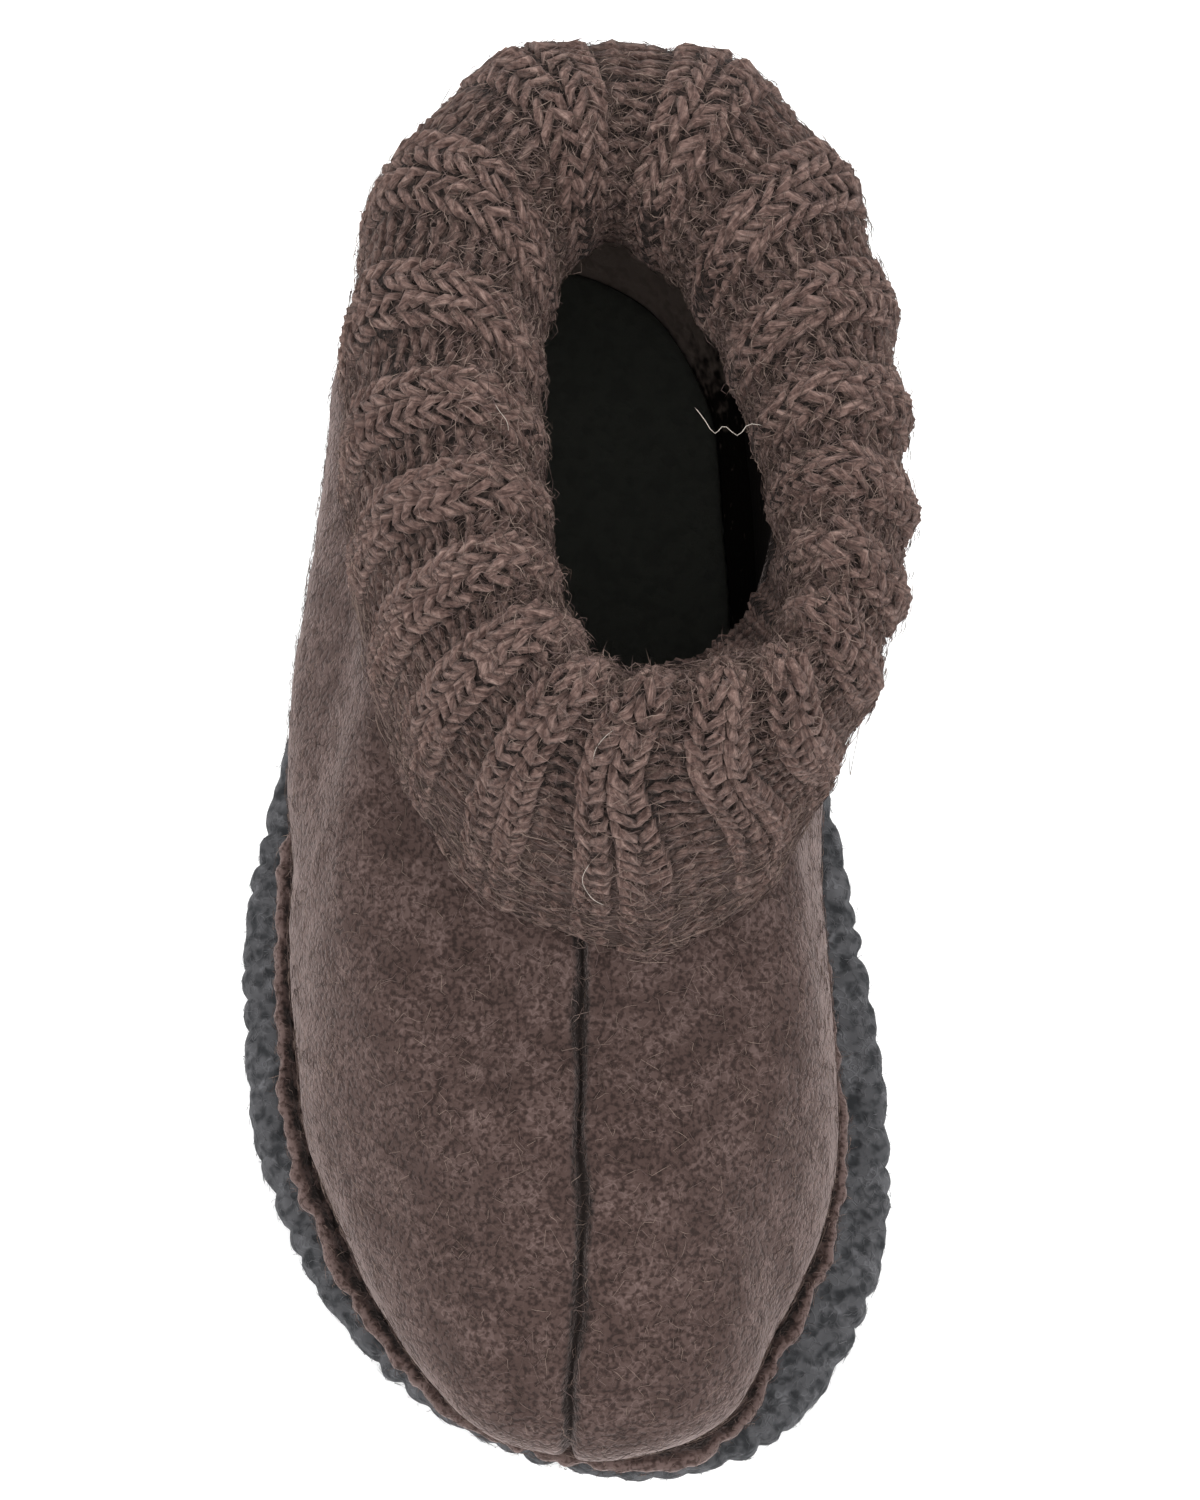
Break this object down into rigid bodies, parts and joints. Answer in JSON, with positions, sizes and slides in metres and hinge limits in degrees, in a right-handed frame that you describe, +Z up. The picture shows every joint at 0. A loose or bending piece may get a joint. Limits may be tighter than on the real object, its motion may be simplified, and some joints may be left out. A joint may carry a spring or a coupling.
{
  "type": "ankle slipper",
  "caption": "Child's ankle slipper: boiled wool upper with a seam over the toe, thick felt sole with a scalloped edge, and a turned-down rib knit cuff.",
  "frame": {"origin": "on the floor, under the middle of the slipper's bounding box", "axes": "+Y along the foot from toe to heel, +X to the inner (big toe) side, +Z up"},
  "size_m": [0.085, 0.1743, 0.1009],
  "materials": {
    "grey_felt": "matt melange felt",
    "dark_felt": "matt felt",
    "brown_felt": "matt boiled wool",
    "brown_knit": "matt rib knit"
  },
  "bodies": {
    "root": {"outsole": "grey_felt", "insole": "dark_felt", "upper": "brown_felt", "cuff": "brown_knit"}
  },
  "joints": []
}
